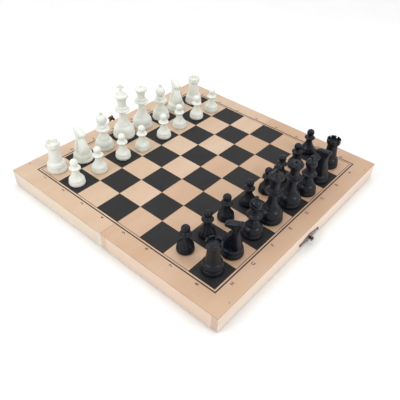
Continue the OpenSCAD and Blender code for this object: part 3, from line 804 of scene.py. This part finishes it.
def rounded_loop(points, step):
    """A closed curve through the points, with a vertex about every step mm."""
    made = []
    count = len(points)
    for i in range(count):
        p0, p1, p2, p3 = (Vector(points[(i + k) % count]) for k in (-1, 0, 1, 2))
        parts = max(2, round((p2 - p1).length / step))
        for k in range(parts):
            t = k / parts
            made.append(0.5 * (
                2 * p1 + (p2 - p0) * t + (2 * p0 - 5 * p1 + 4 * p2 - p3) * t * t
                + (3 * p1 - p0 - 3 * p2 + p3) * t ** 3
            ))
    return made


def gap_to_lines(points, a, b):
    """How far each point is from the nearest of the straight lines from a to b."""
    p = np.array(points)[:, None, :]
    along = b - a
    t = np.clip(((p - a) * along).sum(2) / (along ** 2).sum(1), 0, 1)
    return np.sqrt(((p - a - t[..., None] * along) ** 2).sum(2)).min(1)


def distance_to_loop(points, loop):
    a = np.array(loop)
    return gap_to_lines(points, a, np.roll(a, -1, axis=0))


def inside_loop(points, loop):
    """Whether each point is inside, by how many sides a line from it to +y crosses."""
    a = np.array(loop)
    b = np.roll(a, -1, axis=0)
    p = np.array(points)[:, None, :]
    crosses = (a[:, 1] > p[..., 1]) != (b[:, 1] > p[..., 1])
    rise = np.where(b[:, 1] == a[:, 1], 1, b[:, 1] - a[:, 1])
    x = a[:, 0] + (p[..., 1] - a[:, 1]) / rise * (b[:, 0] - a[:, 0])
    return (crosses & (p[..., 0] < x)).sum(1) % 2 == 1


def hill(y, z, at, size):
    """A smooth hill, 1 high at its middle, over an ellipse of the given half sizes."""
    return np.exp(-(((y - at[0]) / size[0]) ** 2 + ((z - at[1]) / size[1]) ** 2))


def near_path(y, z, path, width):
    """1 on a line through the points, falling smoothly to 0 over the width."""
    way = np.array(path, float)
    gap = gap_to_lines(np.column_stack([y, z]), way[:-1], way[1:])
    return np.exp(-((gap / width) ** 2))


def horse_relief(y, z, depth):
    """Half width of the head and neck at each point of the side view."""
    full = np.interp(z, *zip(*HORSE_WIDTHS))
    edge = np.clip(depth / np.interp(z, *zip(*HORSE_ROUNDS)), 0, 1)
    width = full * np.sqrt(1 - (1 - edge) ** 2)
    inner = np.clip(depth / 1.2, 0, 1)
    # the sunken plane between the mane's column and the chest, with its apex under the jaw
    back = np.interp(z, (12, 28), (-3.6, -1.4))
    front = np.interp(z, (12, 28), (5.2, 0.2))
    below_top = 0.5 * (SUNKEN_TOP - z)
    within = np.clip(np.minimum(np.minimum(y - back, front - y), below_top) / SUNKEN_SLOPE, 0, 1)
    width -= SUNKEN * inner * within * within * (3 - 2 * within)
    # the notch under the jaw, the cheek and the hollow behind the nostril
    width -= 2.2 * hill(y, z, (1.3, 30), (1.3, 0.8))
    width += 0.35 * inner * hill(y, z, (0.4, 33.6), (2.4, 1.9))
    width -= 0.3 * inner * hill(y, z, (6.4, 34.6), (1.5, 1))
    # the brow's ridge, and the eye with the crease under it
    width += 0.25 * inner * near_path(y, z, [(-3, 38), (1.5, 37.3), (6.4, 35.8)], 0.6)
    crease = near_path(y, z, [(1, 35.8), (2.1, 35.2), (3.4, 35.4)], 0.3)
    width += 0.4 * hill(y, z, (2.2, 36), (0.8, 0.5)) - 0.25 * crease
    # the nostril, the mouth and the groove before the mane
    width -= 0.45 * inner * hill(y, z, (7.9, 34.2), (0.5, 0.4))
    width -= 0.35 * near_path(y, z, [(9, 33), (7.4, 32.9), (6.2, 33.3)], 0.28)
    width -= 0.35 * inner * near_path(y, z, [(-4.6, 38.6), (-3.6, 34.6), (-3.2, 30)], 0.45)
    return np.maximum(width, THINNEST)


def horse():
    """The head and neck as a closed mesh: the side view filled with points, mirrored in X."""
    loop = rounded_loop(HORSE, LOOP_STEP)
    count = len(loop)
    inner_points = []
    for inset in RINGS:
        for i in range(count):
            way = (loop[(i + 1) % count] - loop[i - 1]).normalized()
            inner_points.append(loop[i] + inset * Vector((way.y, -way.x)))
    depths = distance_to_loop(inner_points, loop)
    insets = np.repeat(RINGS, count)
    held = [p for p, d, want in zip(inner_points, depths, insets) if d > RING_SHARE * want]
    rows = [
        Vector((y + GRID / 2 * (row % 2), z))
        for row, z in enumerate(np.arange(*GRID_Z, GRID * GRID_ROW)) for y in np.arange(*GRID_Y, GRID)
    ]
    depths = distance_to_loop(rows, loop)
    held += [p for p, d in zip(rows, depths) if d > GRID_INSET]
    held = [p for p, ok in zip(held, inside_loop(held, loop)) if ok]
    edges = [(i, (i + 1) % count) for i in range(count)]
    flat = geometry.delaunay_2d_cdt(loop + held, edges, [], 1, 1e-5)
    points, faces = flat[0], flat[2]
    depth = distance_to_loop(points, loop)
    y, z = np.array(points).T
    half_width = np.where(depth < ON_OUTLINE, 0, horse_relief(y, z, depth))
    bm = bmesh.new()
    right = [bm.verts.new((w, a, b)) for w, a, b in zip(half_width, y, z)]
    left = [r if w < TINY else bm.verts.new((-w, a, b)) for r, w, a, b in zip(right, half_width, y, z)]
    for face in faces:
        if max(half_width[i] for i in face) < TINY:
            continue
        bm.faces.new([right[i] for i in face])
        bm.faces.new([left[i] for i in reversed(face)])
    return bm


def knight():
    outline = hollow(8.2, 5, 8) + foot(11.3, 4.9)
    outline += bend((10.6, 5.7), (10.5, 7.4), (10.1, 8.8), (9.2, 9.4))
    outline = softened(outline + [(8.9, 9.5), (0, 9.5)])
    base = shaped("knight_base", turned(outline), INK)
    return combined(base, shaped("horse", horse(), INK), "UNION")


# ---- setting the pieces out ----

MAKERS = {"pawn": pawn, "rook": rook, "knight": knight, "bishop": bishop, "queen": queen, "king": king}
# degrees that a piece is turned from how it is drawn, anticlockwise from above; the others aren't turned
TURNS = {
    "white_rook_a": 10, "white_knight_b": -16, "white_bishop_c": 130, "white_king_e": 130,
    "white_bishop_f": 80, "white_knight_g": -8, "black_knight_b": 172, "black_bishop_c": 150,
    "black_king_e": 120, "black_bishop_f": 240, "black_knight_g": 198, "black_rook_h": 25,
}
SLOTS = {"white": "ivory_plastic", "black": "black_plastic"}


def make_set():
    shapes = {}
    for kind, make in MAKERS.items():
        made = make()
        if isinstance(made, bmesh.types.BMesh):
            made = applied(shaped(kind, made, INK))
        shapes[kind] = made
    for node in sorted(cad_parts):
        side, kind = (node.split("_") + [""])[:2]
        if side not in HALVES or kind not in MAKERS:
            continue
        low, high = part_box(node)
        piece = dressed(node + "_skin", shapes[kind].copy(), PLASTIC[side], PIECE_SHARP)
        place = Vector(((low.x + high.x) / 2, (low.y + high.y) / 2, low.z))
        turn = Matrix.Rotation(math.radians(TURNS.get(node, 0)), 4, "Z")
        piece.matrix_world = Matrix.Translation(place) @ turn
        belongs(piece, node, SLOTS[side], node)


# ---- hinges, catch and nails keep their CAD shapes ----

METALS = {
    "white_hinge_leaves": BRASS, "black_hinge_leaves": BRASS, "hinge_pins": BRASS,
    "white_hinge_screws": BRASS, "black_hinge_screws": BRASS,
    "hook_plate": OLD_STEEL, "peg_plate": OLD_STEEL, "hook_plate_nails": OLD_BRASS,
    "peg_plate_nails": OLD_BRASS, "catch_hook": OLD_BRASS, "hook_rivet": OLD_BRASS,
    "catch_peg": OLD_BRASS, "white_panel_brads": NAIL_STEEL, "black_panel_brads": NAIL_STEEL,
}


def dress_metal():
    for node, material in METALS.items():
        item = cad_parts[node]
        item.data.materials.clear()
        item.data.materials.append(material)


# ---- floor and light ----

FLOOR, FLOOR_DARK = tone(250, 250, 249), tone(247, 247, 246)
FLOOR_HALF, FLOOR_THICK = 3000, 20
SKY = tone(253, 253, 253)
SKY_STRENGTH = 0.72
COOL, NEUTRAL = (0.94, 0.97, 1), (1, 1, 1)
# softboxes: azimuth and elevation in degrees, distance and size in metres, watts and colour
SOFTBOXES = {
    "left_box": (-20, 42, 1.5, 0.6, 5.5, COOL),
    "right_box": (100, 40, 1.5, 0.5, 4.5, COOL),
    "top_box": (220, 74, 1.6, 1.2, 6, NEUTRAL),
}


def make_stage():
    m = Nodes("floor", FLOOR, 0.9)
    m.colour(m.mix(m.span(m.noise((80, 80, 80), 2), 0.3, 0.7), FLOOR, FLOOR_DARK))
    bm = bmesh.new()
    add_box(bm, (-FLOOR_HALF, -FLOOR_HALF, -FLOOR_THICK), (FLOOR_HALF, FLOOR_HALF, 0))
    shaped("floor", bm, m.material)


def area_light(name, azimuth, elevation, distance, size, watts, colour):
    """A square softbox aimed at the board; azimuth is measured from +X towards +Y."""
    data = bpy.data.lights.new(name, "AREA")
    data.energy = watts
    data.size = size
    data.color = colour
    light = bpy.data.objects.new(name, data)
    a, e = math.radians(azimuth), math.radians(elevation)
    way = Vector((math.cos(a) * math.cos(e), math.sin(a) * math.cos(e), math.sin(e)))
    light.location = way * distance
    light.rotation_euler = way.to_track_quat("Z", "Y").to_euler()
    bpy.context.scene.collection.objects.link(light)


def make_light():
    world = bpy.data.worlds.new("studio")
    world.use_nodes = True
    sky = world.node_tree.nodes["Background"]
    sky.inputs["Color"].default_value = (*SKY, 1)
    sky.inputs["Strength"].default_value = SKY_STRENGTH
    bpy.context.scene.world = world
    bpy.context.scene.view_settings.view_transform = "Standard"
    for name, settings in SOFTBOXES.items():
        area_light(name, *settings)


make_camera()
make_stage()
make_light()
make_panels()
make_rails()
make_print()
make_set()
dress_metal()
